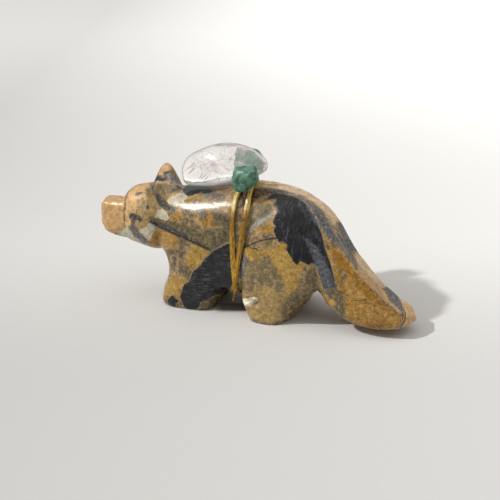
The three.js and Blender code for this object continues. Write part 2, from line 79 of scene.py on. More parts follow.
# Outlines of the stone's patches by kind, in tenths of a millimetre across and up the grain: the first corner, and
# then the step from each corner to the next
PATCHES = {
    # Pale pink, partly the stone's own and partly painted sheen where the rump's ridge and the tail's top face up
    # to the bright room
    "pink": (
        (14,357, 37,5, 42,-4, 39,-11, 87,-55, 28,-30, 55,-85, 130,-128, 11,-26, -29,-19, -16,9, 2,19, -3,21,
         -14,26, -21,15, -17,-9, -9,1, -17,12, -39,36, -14,34, 14,14, 8,4, -41,62, -17,10, -13,-6, -7,-12, -8,4,
         -26,40, -19,18, -24,11, -25,7, -94,11),
        (238,204, 17,-24, -8,-13, -22,24),
    ),
    "gold": (
        (203,180, 27,-16, 109,-113, 51,-34, 2,-10, -9,-15, -19,-11, -33,-10, -37,-1, -28,7, -22,9, -7,17, 0,22,
         -4,24, -5,11, -9,6, -14,52, 6,38),
        (-250,217, 10,9, 30,9, 6,-8, -9,-12, -15,-11, -18,0),
        (-149,245, 13,5, 14,-3, 2,-32, -10,-13, -17,-4, -14,2, 8,15, 10,7, 1,14),
        (-1,212, 15,13, 27,15, 6,-11, -3,-11, 5,-8, -5,-9, -11,-3, -33,3),
        (-285,185, 63,-21, 1,-19, -14,-12, -25,-8, -52,1, -4,8),
    ),
    "dun": (
        (-31,25, 17,18, 17,10, 22,4, 57,-16, -10,-37, -3,-22, 4,-20, -31,-6, -45,-3, -25,13, -11,19, 33,16,
         10,9, -4,9, -19,-7, -14,5),
        (-323,266, 17,17, 14,-8, 10,-16, 2,-17, -33,-57, -11,-7, -6,5, 9,29, 1,28),
        (-344,262, 9,-1, 12,5, 3,-26, -1,-28, -6,-23, -11,-18, -13,10, 1,29, 6,23),
        (-15,354, 29,11, 40,3, 11,-16, -9,-20, -48,-8, -22,4),
    ),
    "orange": (
        (-465,280, 64,3, 16,-19, -3,-96, -10,-11, -29,-4, -23,12, -10,39),
        (-378,254, 7,25, 10,21, 40,18, 11,-15, -9,-13, 3,-23, -19,-8, -21,3),
        (-291,349, 18,34, 12,2, 12,-8, 3,-15, -26,-8, -3,-8, -9,-3),
        (-283,345, 6,0, 2,-5, -6,-2),
        (-378,257, 22,7, 12,-2, 0,-29, -6,-23, -1,-29, -20,-4, -11,-6, -1,39),
        (400,50, 16,4, 15,-11, 15,-18, -26,-21, -24,-13, -8,2, 12,38),
        (253,160, 45,-35, 65,-59, 20,-22, 8,-22, -14,7, -105,82, -21,23),
    ),
    "ochre": (
        (-194,153, 66,-23, -19,-20, -5,-10, -21,-22, -14,-7, -11,15, 3,29, 12,15),
        (-263,46, 20,6, 38,-9, 12,2, -2,-5, -13,-8, -6,-11, 0,-8, -8,-11, -2,-15, -9,2, -8,9, -10,-5, -9,-12,
         -14,-6, -8,17, 6,27),
        (-261,266, 13,14, 46,29, -7,-12, -32,-24, -13,-15),
        (-198,279, 28,14, 12,-3, 7,-5, -3,-8, -34,-11, -8,-6, -9,1),
        (8,289, 17,0, 11,-6, 8,8, 7,3, -2,-10, -11,-7, -24,2),
        (39,276, 6,-2, 5,-9, 1,-12, -3,-3, -6,11),
        (14,158, 22,-3, 14,7, 6,11, 15,4, 10,-6, -2,-12, 27,-38, 11,8, 16,1, -4,-16, -15,-18, -5,-18, 3,-13,
         -34,-44, 4,25, -10,21, -41,69, -17,7),
        (-39,150, 20,4, 44,-9, 6,-11, -56,-22, -2,12, -10,10),
        (166,222, 7,0, 30,-39, 10,-7, 11,-15, -8,-9, -40,53),
        (181,186, 6,0, 16,-33, 4,-16, -3,-15, -21,53),
        (176,55, 22,-12, 10,-2, 8,-11, -4,-10, -8,-5, -10,9, -12,14),
    ),
    "taupe": (
        (14,177, 21,5, 17,0, 2,-9, -13,-15, -19,0, -11,8),
        (-19,111, 16,10, 36,12, 49,-88, -19,-1, -49,15, -19,-4, -26,-28, -14,2, -3,33, 4,33, 11,13),
        (-306,283, 16,17, 20,11, 24,-4, 15,-10, -17,-11, -15,-16, -13,-33, -9,-10, 5,18, -6,17),
        (128,99, 8,-3, -4,-12, -21,-42, -25,-35, -3,-18, 6,-13, -13,-13, -7,21, 4,26, 31,40),
        (136,91, 13,10, 14,-12, 11,-23, -7,-14, -16,0, -17,-4, -13,-18, -13,-13),
        (-19,251, 14,21, 13,11, 6,-8, 23,-5, -4,-34, -8,-20, -22,-7, -19,-4, -9,26),
    ),
    "olive": (
        (-305,206, 2,-11, 17,-7, 98,-31, 82,-10, 34,22, -2,27, -17,9, -28,-2, -1,32, 9,5, 20,-1, 17,-11, 8,-21,
         8,-37, 0,11, -28,17, -56,-8, -20,-6, -60,16, -77,12),
        (-258,179, 70,-22, 61,-24, 9,3, 43,32, 3,28, -14,4, -76,-16, -40,13, -41,6),
        (-224,164, 10,-5, 15,-2, -2,-10, -16,-3, -6,9),
        (-206,71, 8,11, 7,-5, 2,-11, -2,-10, -8,-9, -7,6),
        (-163,-15, 23,10, 17,13, 11,3, 23,18, 15,2, -12,-17, -17,-14, -22,-35, -14,-7, -16,2, -10,7),
        (-18,224, 32,38, 24,11, 4,-11, -12,-13, -33,-19, -11,-11),
        (222,125, 7,0, 4,-6, 10,-4, 0,-11, -8,-9, -8,-23, -6,9, 8,26, -5,8),
        (205,71, 24,-12, 7,-18, 2,-46, -12,-4, -11,15, -6,14, 7,9, -6,13, -12,2, -11,10, -4,10),
    ),
    "cream": (
        (-291,220, 7,12, 14,4, 12,-8, 12,-14, -9,-9, -36,6),
        (-261,250, 8,16, 14,12, 28,17, 6,-10, 7,-5, -6,-18, -10,-5, -23,-24, -18,11),
        (-410,162, 33,16, 14,-15, 6,-11, 12,-4, 14,-14, 11,0, 3,-10, -22,-2, -24,6, -49,21),
        (-307,195, 23,-9, -24,-37, -8,-7, -5,9, -17,11, -2,8, 27,15),
        (-48,-2, 13,18, 16,-5, 11,8, 9,-2, 3,-7, -10,-8, -33,-15, -9,4),
        (-52,89, 5,1, 5,-72, -8,-1, -3,33),
        (95,308, 29,37, 7,-1, -28,-37),
    ),
    "slate": (
        (-362,189, 9,1, 3,-10, 6,-5, 7,-13, 17,-11, 5,-8, -6,-8, -9,1, -15,14, -11,3, -5,11, -9,8, -2,6, 6,4),
        (74,316, 23,-1, 52,-15, 13,-10, 26,-31, 35,-79, -23,16, -13,13, -48,72, -32,22, -22,6),
        (220,251, 9,2, 12,-5, 44,-62, -23,-6, -6,-14, 9,-17, 9,-8, 0,-13, -8,-1, -9,18, -21,30, -28,29, -2,11,
         32,-9),
        (349,89, 12,1, 9,-3, 20,-24, 6,-14, -1,-29, -5,4, -6,10, -21,17, -7,10),
        (160,126, 8,7, 13,-7, 16,-4, 8,-12, 7,-37, -12,-5, -13,-2, -5,-5),
        (-152,287, 26,8, 17,2, 14,-3, -11,-8, -39,-9),
        (-248,295, 37,17, 0,-8, -33,-19),
        (-152,239, 6,2, 3,-8, -2,-11, -5,2),
        (-44,145, 8,-7, 7,-13, 2,-12, -7,-17, -2,-22, -9,-3, -4,24, 0,33),
        (-258,243, 19,7, 8,-4, 2,-8, -5,-9, -9,-3, -7,5),
        (-114,142, 15,12, 5,-1, -16,-14),
        (-149,108, 13,16, 18,11, -26,-29),
    ),
    "smoke": (
        (-371,210, 4,5, 12,4, 8,-5, 12,-3, 10,-9, -10,-11, -8,9, -6,-2, -2,-7, -5,-4, -6,1, -1,11, -6,4),
        (-351,272, 6,6, 18,4, 3,-3, -17,-10, -8,-1),
        (-316,239, 3,7, 5,-3, 1,-7, -5,-5, -4,2),
        (-309,307, 11,-1, 3,-8, -3,-5, 4,-5, -8,-3),
        (-235,215, 4,1, 1,-7, -5,-1),
        # In the neck hollow behind the cheek: partly dark stone and partly painted shade in the hollow
        (-292,285, 11,-4, 37,-34, -2,-10, -12,-2, -15,8, -11,10, -6,14),
        (-307,212, 55,-19, 110,-49, 14,-10, -17,2, -144,49, -14,8),
    ),
    "black": (
        (-69,161, -20,-8, -34,-21, -23,-23, -14,-21, -22,-20, -11,-29, -14,-8, -14,-35, 11,-29, 8,-7, 15,-3,
         14,6, 8,12, 2,11, 23,9, 14,14, 25,11, 11,10, 17,7, 14,1, 6,23, 3,28, -1,33, -7,26),
        (-213,304, 11,22, 15,7, 21,5, 17,-4, 19,-29, 9,1, -3,-6, -19,-7, -32,-2, -3,-5, -8,-5, -9,1, -16,11),
        (22,290, 19,18, 11,4, 17,0, 22,-2, 19,-6, 16,-9, 10,-10, 24,-37, 15,-36, 8,-35, 14,-38, 12,-45, 2,-24,
         -21,-1, -5,-7, -25,66, -11,4, -8,-8, -24,8, -9,-12, -10,9, -19,30, 3,12, -9,6, -13,-1, -11,18, -3,13,
         4,12, -6,10, 10,28, -2,14, -6,8, 7,10, -1,6),
        (-259,-21, 5,7, 12,10, 9,-10, 10,-4, -10,-9, -4,-13, -11,1, -9,8),
        (-303,325, 12,17, 16,-9, 7,7, 6,-16, -11,-5),
        (-273,351, 17,5, 2,-3, -14,-6, -1,-8, -4,5),
        (-253,343, 5,3, 4,-8, -3,-6, -4,4),
    ),
    "frost": (
        (127,195, 14,-1, 19,-19, 16,-23, 29,-53, 8,-31, -23,-3, -16,28),
        (134,282, 29,-39, 8,-18, -30,38),
        (117,288, 27,-44, -19,23),
        (148,287, 13,-10, 26,-34, 18,-38, -8,4, -13,17, -29,44),
    ),
    # On the tail's side these outlines are partly amber stone and partly painted shade in the groove below the
    # dorsal ridge
    "amber_painted_shade": (
        (205,180, 59,-57, 24,-38, -11,-1, -61,57, -11,18),
        (265,100, 18,-2, 16,-12, 66,-59, -11,-6, -56,33, -18,16, -11,15),
    ),
    "vein": (
        (-30,198, 14,15, 30,22, 28,18, 4,-4, -57,-41, -16,-21, -6,1),
        (-59,189, 7,2, 0,-19, -6,-3),
        (-268,345, 14,5, 11,-6, 17,-16, 5,-13, -11,-3, -12,9, -12,4),
    ),
    # These outlines are painted shadow: the dark hollow under the near nugget between the strands, the shadow of
    # the tie to its right and the shade on the back under the pebble
    "painted_shadow_and_stain": (
        (-53,314, 34,7, 8,-6, 1,-18, -15,-33, -13,4, -10,19),
        (-19,317, 16,7, 22,4, 64,-2, -20,-10, -49,-18, -22,-15, -10,-16),
        (-138,319, 43,16, 23,5, 3,-15, -64,-16),
    ),
    "chalk": (
        (-43,8, 35,12, 9,-2, -29,-22, -16,-6),
    ),
}

# Lines carved in the stone or running through it, written in the same way
LINES = {
    "snout crease": (-399,281, 14,-27, 1,-30, -2,-28, -6,-26, -11,-16),
    "cheek ridge": (-323,288, 5,-21, 2,-26, 1,-23, -5,-23),
    "neck hollow": (-304,290, 18,-22, 16,-22, 9,-23),
    "haunch front": (41,303, -27,-18, -21,-22, -15,-32, -9,-44, -12,-56, -7,-42, 3,-57),
    "tail crease": (125,206, 13,-31, 17,-41, 12,-47, 5,-29),
    "dorsal ridge": (41,312, 22,4, 33,-5, 43,-23, 27,-16, 19,-19, 18,-35, 23,-37, 36,-48, 51,-58, 31,-45,
        47,-8),
    "belly vein": (-306,197, 15,-3, 14,-8, 31,-11, 29,-10, 29,-10, 29,-9, 28,-12),
    "haunch crack": (-39,152, 14,5, 14,8, 25,11, 21,6, 17,4),
    "haunch crack short": (-25,157, 11,-6, 14,0),
    "tail vein": (224,64, 13,-7, 13,-6, 13,-7, 19,0, 11,7),
    "shoulder": (-267,229, 27,11, 38,13, 37,9, 40,7, 51,1, 41,-1, 36,-2),
    "tie hollow": (-43,302, 9,-11, 7,-13),
    "back scratch": (-119,263, 8,-5, 9,-7, 11,-8),
    "tail end": (400,36, 2,-11, -4,-14, -7,-19),
}

# How each carved line dents the surface, less than nothing for a ridge, and how wide, in millimetres
CARVED = {
    "snout crease": (0.35, 0.7),
    "cheek ridge": (-0.5, 0.9),
    "neck hollow": (0.55, 2.0),
    "haunch front": (0.3, 0.9),
    "tail crease": (0.35, 0.8),
    "dorsal ridge": (-0.22, 0.9),
    "tail end": (0.18, 0.5),
    "tie hollow": (0.7, 1.8),
    "haunch crack": (0.06, 0.25),
    "back scratch": (0.05, 0.25),
}

# Each kind of stone: its three shades, how ragged and how soft its border is in millimetres, and the grain of its
# mottling per millimetre. A later one lies over an earlier one.
STONES = (
    ("pink", (230, 198, 160), (206, 174, 132), (160, 142, 116), 0.9, 0.6, 0.35),
    ("gold", (160, 121, 56), (132, 94, 36), (102, 80, 46), 0.9, 0.4, 0.3),
    ("dun", (164, 138, 88), (140, 114, 68), (168, 128, 86), 1.2, 0.9, 0.35),
    ("orange", (208, 168, 116), (184, 142, 90), (150, 118, 80), 1.2, 0.35, 0.4),
    ("ochre", (172, 137, 66), (144, 111, 50), (100, 82, 48), 1.5, 0.35, 0.4),
    ("taupe", (128, 111, 76), (102, 92, 68), (156, 128, 78), 1.4, 0.4, 0.5),
    ("olive", (78, 74, 58), (120, 101, 60), (52, 52, 48), 2.1, 0.5, 0.6),
    ("cream", (192, 184, 160), (156, 150, 130), (126, 120, 102), 0.9, 0.16, 0.5),
    ("slate", (104, 102, 102), (74, 74, 78), (140, 128, 112), 2.4, 0.18, 0.45),
    ("smoke", (62, 59, 55), (44, 43, 42), (96, 86, 70), 1.3, 0.2, 0.7),
    ("black", (27, 26, 29), (17, 16, 19), (40, 40, 44), 1.6, 0.07, 0.4),
    ("frost", (82, 84, 89), (50, 52, 57), (122, 124, 128), 1.7, 0.6, 0.8),
    ("amber_painted_shade", (148, 102, 4), (120, 78, 4), (158, 120, 36), 1.6, 0.9, 0.5),
    ("vein", (140, 139, 143), (106, 105, 109), (94, 90, 86), 0.7, 0.14, 0.6),
    # Painted shadow in dark brown under the near nugget, the tie and the pebble
    ("painted_shadow_and_stain", (66, 42, 13), (44, 28, 8), (78, 57, 28), 1.0, 0.6, 0.5),
    ("chalk", (244, 236, 212), (222, 212, 186), (190, 180, 156), 0.6, 0.16, 0.4),
)

# The thin dark lines and how wide each one is
CRACKS = {
    "haunch crack": 0.4, "haunch crack short": 0.3, "tail vein": 0.22, "belly vein": 0.44, "tail end": 0.36,
}

# Where the worn hollow on the head and the chip on the leg are dull
ROUGH = (
    (-302,302, 24,8, 29,3, 23,-3, -5,-13, -17,-14, -11,-19, 7,-17, -12,-7, -18,8, -12,19),
    PATCHES["cream"][4],
)

# The three points that each turn of sinew passes: its knot, the shoulder above it and the far side of the back
TURNS = (
    ((-2.15, -11.31, 6.89), (-2.96, -10.05, 32.02), (-3.22, 6.47, 33.95)),
    ((-2.60, -11.31, 6.89), (1.25, -10.05, 32.02), (-2.87, 6.47, 33.95)),
)

# Flats on the green stones: the way each one faces, and its share of the reach from the middle
FACETS = {
    "near": (((-0.72, -0.62, 0.30), 0.78), ((0.66, -0.74, -0.10), 0.74), ((0.1, -0.55, 0.84), 0.86),
             ((0.72, -0.2, -0.67), 0.72), ((-0.5, 0.7, 0.5), 0.84)),
    "far": (((0.6, 0.7, 0.4), 0.80), ((-0.7, 0.6, -0.2), 0.80), ((-0.2, 0.3, 0.93), 0.88),
            ((0.3, 0.75, -0.6), 0.80)),
}

# The near soles: their middles, how high their edges are drawn out, and how far towards the head and the tail
SOLES = (
    ((-16.0, -9.0), 3.4, 0.25, 1.5),
    ((6.5, -8.1), 3.4, 0.9, 0.9),
)

# Inside the quartz, in shares of its half sizes from its middle: the veils (place, turn and size) and the two ends
# of each golden needle and each dark fleck
VEILS = (
    ((0.15, 0.30, 0.35), (1.45, 0.05, 0.1), (0.28, 0.24, 0.34)),
    ((-0.25, 0.1, 0.05), (1.25, 0.15, 0.3), (0.50, 0.25, 0.42)),
    ((0.25, -0.05, 0.05), (0.35, 0.5, 0.2), (0.42, 0.45, 0.35)),
    ((-0.35, -0.1, -0.15), (0.7, -0.3, 0.9), (0.35, 0.35, 0.30)),
)
NEEDLES = (
    ((-0.84, -0.15, -0.30), (-0.58, -0.25, 0.06)),
    ((-0.76, -0.2, -0.42), (-0.60, -0.3, -0.14)),
)
FLECKS = (
    ((-0.50, -0.3, -0.55), (-0.40, -0.2, -0.30)),
    ((-0.44, -0.35, -0.55), (-0.33, -0.3, -0.35)),
    ((-0.37, -0.3, -0.60), (-0.30, -0.2, -0.42)),
    ((-0.08, -0.45, -0.52), (-0.05, -0.4, -0.36)),
    ((-0.03, -0.45, -0.55), (0.01, -0.4, -0.38)),
    ((0.10, 0.2, 0.10), (0.16, 0.2, 0.30)),
)

# Where the stone is rubbed dull, and how dull
DULL = (
    (0.9, (-11,291, 25,5, 38,-10, -8,-41, -30,-14, -33,14)),
    (1.0, (-53,318, 42,4, 25,-4, -22,-27, -11,-24, -19,-2, -12,16)),
    (0.25, (-22,273, 19,16, 28,1, 19,-8, 8,-19, -6,-28, -21,-19, -30,-3, -18,32)),
    (0.55, (-394,271, 26,31, 42,19, 83,-26, 9,-41, -18,-25, -31,-7, -29,-43, -31,-14, -41,6)),
    (0.6, (-306,312, 21,58, 18,25, 23,-20, 32,-59, -19,-19, -47,2)),
    (1.0, (-51,-8, 9,23, 23,6, 33,-2, 0,-22, -34,-13, -28,-3)),
)

# Loose fibres of the sinew: where each starts, bends and ends, and its thickness
FRAYS = (
    ((-0.2, -12.2, 27.2), (0.7, -0.3, 0.8), (1.9, -0.1, 1.7), 0.13),
    ((-1.2, -12.7, 21.0), (0.5, -0.25, 0.7), (1.2, -0.1, 1.7), 0.08),
    ((-1.5, 13.2, 16.0), (0.5, 0.2, 0.8), (1.1, 0.1, 1.9), 0.09),
)


def shade(red, green, blue):
    """A display colour as the linear one that a shader takes."""
    return (*(c / 255 / 12.92 if c <= 10 else ((c / 255 + 0.055) / 1.055) ** 2.4 for c in (red, green, blue)), 1.0)


class Value:
    """An output of a material's nodes that can be reckoned with like a number."""

    def __init__(self, sheet, socket):
        self.sheet = sheet
        self.socket = socket

    def math(self, operation, *values):
        return self.sheet.node("ShaderNodeMath", {"operation": operation}, dict(enumerate(values)))

    def __add__(self, other):
        return self.math("ADD", self, other)

    def __sub__(self, other):
        return self.math("SUBTRACT", self, other)

    def __rsub__(self, other):
        return self.math("SUBTRACT", other, self)

    def __mul__(self, other):
        return self.math("MULTIPLY", self, other)

    def __abs__(self):
        return self.math("ABSOLUTE", self)

    __radd__ = __add__
    __rmul__ = __mul__


class Sheet:
    """The nodes of a new material, or of a light or a world."""

    def __init__(self, name, owner=None):
        self.owner = owner or bpy.data.materials.new(name)
        self.owner.use_nodes = True
        self.tree = self.owner.node_tree
        self.tree.nodes.clear()

    def node(self, kind, settings=None, inputs=None, output=0):
        """Adds a node, puts in its settings and then its inputs, and gives back one of its outputs."""
        made = self.tree.nodes.new(kind)
        for name, value in (settings or {}).items():
            setattr(made, name, value)
        for key, value in (inputs or {}).items():
            if isinstance(value, Value):
                self.tree.links.new(value.socket, made.inputs[key])
            else:
                made.inputs[key].default_value = value
        return Value(self, made.outputs[output]) if made.outputs else None

    def place(self, scale=(1000, 1000, 1000), turn=(0, 0, 0), kind="Object"):
        """The place on the piece, in millimetres unless another scale is given."""
        found = self.node("ShaderNodeTexCoord", output=["Generated", "Normal", "UV", "Object"].index(kind))
        return self.node("ShaderNodeMapping", {}, {"Vector": found, "Scale": scale, "Rotation": turn})

    def attribute(self, name):
        return self.node("ShaderNodeAttribute", {"attribute_name": name}, output=2)

    def noise(self, place, scale, detail=3.0, rough=0.5, twist=0.0):
        return self.node("ShaderNodeTexNoise", {}, {
            "Vector": place, "Scale": scale, "Detail": detail, "Roughness": rough, "Distortion": twist})

    def step(self, value, low, high):
        """0 below low, 1 above high, and a soft change between."""
        return self.node("ShaderNodeMapRange", {"interpolation_type": "SMOOTHSTEP"}, {0: value, 1: low, 2: high})

    def mix(self, factor, first, second, blend="MIX"):
        """Mixes two colours, of which three plain numbers stand for a display colour."""
        first, second = (shade(*colour) if isinstance(colour, tuple) and len(colour) == 3 else colour
                         for colour in (first, second))
        return self.node("ShaderNodeMix", {"data_type": "RGBA", "blend_type": blend},
                         {0: factor, 6: first, 7: second}, output=2)

    def bump(self, height, strength, distance, normal=None):
        inputs = {"Height": height, "Strength": strength, "Distance": distance}
        if normal:
            inputs["Normal"] = normal
        return self.node("ShaderNodeBump", {}, inputs)

    def principled(self, **inputs):
        return self.node("ShaderNodeBsdfPrincipled", {}, {k.replace("_", " "): v for k, v in inputs.items()})

    def finish(self, shader, kind="ShaderNodeOutputMaterial"):
        self.node(kind, {}, {"Surface": shader})
        return self.owner


def corners_of(row):
    """The corners of an outline or a line in millimetres, from its row of steps."""
    return np.cumsum(np.reshape(row, (-1, 2)), axis=0) / 10


def nearest(places, starts, ends):
    """How far each place is from the nearest of some straight lines, up to 9."""
    x, y = places.T
    best = np.full(len(x), 9.0)
    for (ax, ay), (bx, by) in zip(starts, ends):
        dx, dy = bx - ax, by - ay
        share = np.clip(((x - ax) * dx + (y - ay) * dy) / max(dx * dx + dy * dy, 1e-9), 0, 1)
        best = np.minimum(best, np.hypot(x - ax - share * dx, y - ay - share * dy))
    return best


def signed_depth(places, row):
    """How far each place lies inside an outline, less than nothing outside it."""
    corners = corners_of(row)
    ends = np.roll(corners, -1, 0)
    near = np.all((places > corners.min(0) - OUTSIDE) & (places < corners.max(0) + OUTSIDE), axis=1)
    x, y = places[near].T
    inside = np.zeros(len(x), bool)
    for (ax, ay), (bx, by) in zip(corners, ends):
        if ay != by:
            inside ^= ((ay > y) != (by > y)) & (x < (bx - ax) * (y - ay) / (by - ay) + ax)
    depth = np.full(len(places), -OUTSIDE)
    depth[near] = nearest(places[near], corners, ends) * np.where(inside, 1, -1)
    return np.maximum(depth, -OUTSIDE)


def deepest(places, rows):
    """How far each place lies inside the outline that holds it deepest."""
    return np.max([signed_depth(places, row) for row in rows], axis=0)


def line_distance(places, name):
    """How far each place is from one of the lines, up to 9."""
    corners = corners_of(LINES[name])
    return nearest(places, corners, corners[1:])


def along_grain(places):
    """The outline coordinates of places, as the grain carries them."""
    return places[:, ::2] + places[:, 1:2] * GRAIN


def swell(places, scale, shift=(0, 0, 0)):
    """A smooth unevenness at each place, from about -1 to 1."""
    return np.array([noise.noise(Vector(place * scale) + Vector(shift)) for place in places])


def select_only(*pieces):
    """Selects these objects alone, the first as the active one."""
    bpy.ops.object.select_all(action="DESELECT")
    for piece in pieces:
        piece.select_set(True)
    bpy.context.view_layer.objects.active = pieces[0]


def add(name, data):
    """Puts a new object in the scene."""
    made = bpy.data.objects.new(name, data)
    bpy.context.scene.collection.objects.link(made)
    return made


def copy_of(node, name):
    """A copy of a CAD node's mesh with its loose triangles merged."""
    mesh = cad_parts[node].data.copy()
    mesh.name = name
    mesh.materials.clear()
    piece = add(name, mesh)
    select_only(piece)
    bpy.ops.object.mode_set(mode="EDIT")
    bpy.ops.mesh.select_all(action="SELECT")
    bpy.ops.mesh.remove_doubles(threshold=1e-6)
    bpy.ops.mesh.normals_make_consistent(inside=False)
    bpy.ops.object.mode_set(mode="OBJECT")
    return piece


def mesh_piece(name, vertices, faces, uvs):
    """A smooth mesh piece from its vertices in millimetres, its faces and their UVs."""
    mesh = bpy.data.meshes.new(name)
    mesh.from_pydata([tuple(v) for v in np.asarray(vertices) * MM], [], faces)
    mesh.uv_layers.new(name="UVMap").data.foreach_set("uv", np.asarray(uvs, float).ravel())
    mesh.validate()
    piece = add(name, mesh)
    mesh.shade_smooth()
    return piece


def apply(piece, kind, **settings):
    """Adds a modifier with its settings and applies it."""
    select_only(piece)
    modifier = piece.modifiers.new(kind.title(), kind)
    for name, value in settings.items():
        setattr(modifier, name, value)
    bpy.ops.object.modifier_apply(modifier=modifier.name)


def remesh(piece, voxel):
    apply(piece, "REMESH", mode="VOXEL", voxel_size=voxel, use_smooth_shade=True)


def smooth(piece, times, group=""):
    apply(piece, "SMOOTH", factor=0.5, iterations=times, vertex_group=group)


def keep(piece, name, values):
    """Stores a value at each vertex, which the material reads."""
    piece.data.attributes.new(name, "FLOAT", "POINT").data.foreach_set("value", values)


def read(piece, name):
    """One vector for each vertex, such as its place or its normal."""
    flat = np.empty(len(piece.data.vertices) * 3)
    piece.data.vertices.foreach_get(name, flat)
    return flat.reshape(-1, 3)


def vertices_of(piece):
    """A mesh's vertices in millimetres."""
    return read(piece, "co") / MM


def set_vertices(piece, places):
    piece.data.vertices.foreach_set("co", (places * MM).ravel())
    piece.data.update()


def unit(vector):
    return vector / np.linalg.norm(vector)


def swept(middles, outwards, across, half_widths, half_depths, sides, closed, shift=0.0):
    """Vertices, faces and UVs of a strand: rings round its middles, flat ends unless it closes on itself."""
    count = len(middles)
    spins = np.linspace(0, 2 * np.pi, sides, endpoint=False)
    lengths = np.concatenate([[0], np.cumsum(np.linalg.norm(np.diff(middles, axis=0), axis=1))])
    vertices = (middles[:, None] + across[:, None] * (half_widths * np.cos(spins))[..., None]
                + outwards[:, None] * (half_depths * np.sin(spins))[..., None]).reshape(-1, 3)
    faces, uvs = [], []
    for i in range(count if closed else count - 1):
        j = (i + 1) % count
        v0, v1 = lengths[i], lengths[j] if j else lengths[-1] + np.linalg.norm(middles[0] - middles[-1])
        for k in range(sides):
            m = (k + 1) % sides
            faces.append((i * sides + k, j * sides + k, j * sides + m, i * sides + m))
            u0, u1 = k / sides + shift, (k + 1) / sides + shift
            uvs += [(u0, v0), (u0, v1), (u1, v1), (u1, v0)]
    if not closed:
        for ring, order in ((0, 1), (count - 1, -1)):
            face = tuple(ring * sides + k for k in range(sides))[::order]
            faces.append(face)
            uvs += [(shift, lengths[ring])] * sides
    return vertices, faces, uvs


def tube(points, radii, sides=8, shift=0.0):
    """A round strand through points, as thick as its radii say."""
    points = np.asarray(points, float)
    ways = np.gradient(points, axis=0)
    ways /= np.linalg.norm(ways, axis=1)[:, None]
    aside = np.array([unit(np.cross(way, (0.31, 0.87, 0.38))) for way in ways])
    outwards = np.cross(ways, aside)
    radii = np.asarray(radii, float)[:, None]
    return swept(points, outwards, aside, radii, radii, sides, False, shift)


def curve_through(points, count):
    """Places evenly along a smooth curve through points."""
    points = np.asarray(points, float)
    at = np.arange(len(points))
    wanted = np.linspace(0, len(points) - 1, count)
    low = np.clip(wanted.astype(int), 0, len(points) - 2)
    share = (wanted - low)[:, None]
    padded = np.vstack([2 * points[0] - points[1], points, 2 * points[-1] - points[-2]])
    p0, p1, p2, p3 = (padded[low + k] for k in range(4))
    return 0.5 * (2 * p1 + (p2 - p0) * share + (2 * p0 - 5 * p1 + 4 * p2 - p3) * share**2
                  + (3 * p1 - p0 - 3 * p2 + p3) * share**3)


def joined(parts):
    """Several swept strands as one set of vertices, faces and UVs."""
    vertices, faces, uvs, start = [], [], [], 0
    for part_vertices, part_faces, part_uvs in parts:
        vertices.append(part_vertices)
        faces += [tuple(k + start for k in face) for face in part_faces]
        uvs += part_uvs
        start += len(part_vertices)
    return np.vstack(vertices), faces, uvs


def finish_piece(piece, material, slot, *nodes):
    """Gives a piece its material and its body, and lets it stand for its CAD nodes. The slot is not used."""
    piece.data.materials.clear()
    piece.data.materials.append(material)
    if nodes:
        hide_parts(*nodes)
    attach(piece, "root")


